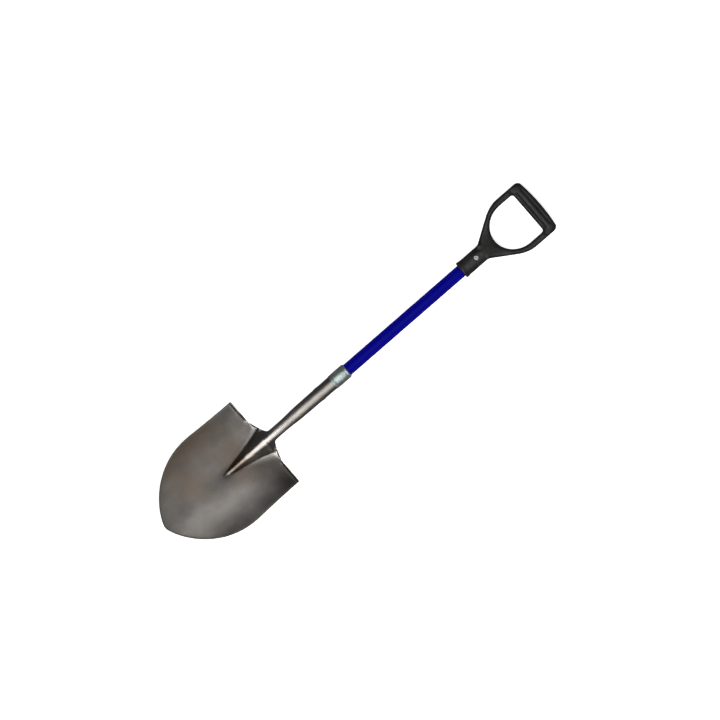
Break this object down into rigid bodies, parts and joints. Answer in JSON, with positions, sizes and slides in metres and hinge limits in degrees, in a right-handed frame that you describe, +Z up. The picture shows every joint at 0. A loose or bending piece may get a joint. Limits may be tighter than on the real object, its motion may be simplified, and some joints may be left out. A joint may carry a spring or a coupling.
{
  "type": "round point shovel",
  "caption": "Round point digging shovel: dished steel blade with rolled socket, turned steps, fibreglass shaft and D-grip.",
  "frame": {"origin": "on the surface the shovel lies on, under the middle of its length", "axes": "+X from the blade's point to the D-grip, along the shaft; +Z up, out of the working face; the shovel lies on its back"},
  "size_m": [1.0236, 0.2236, 0.0964],
  "materials": {
    "blade_steel": "satin",
    "collar_steel": "satin",
    "blue_fibreglass": "gloss",
    "core_filler": "matte",
    "black_moulding": "matte",
    "rivet_steel": "satin"
  },
  "bodies": {
    "root": {"blade": "blade_steel", "socket_rivet": "rivet_steel", "socket_collar": "collar_steel", "lower_core_plug": "core_filler", "shaft_tube": "blue_fibreglass", "upper_core_plug": "core_filler", "d_grip": "black_moulding", "grip_rivet": "rivet_steel", "grip_rivet_washer": "rivet_steel"}
  },
  "joints": []
}
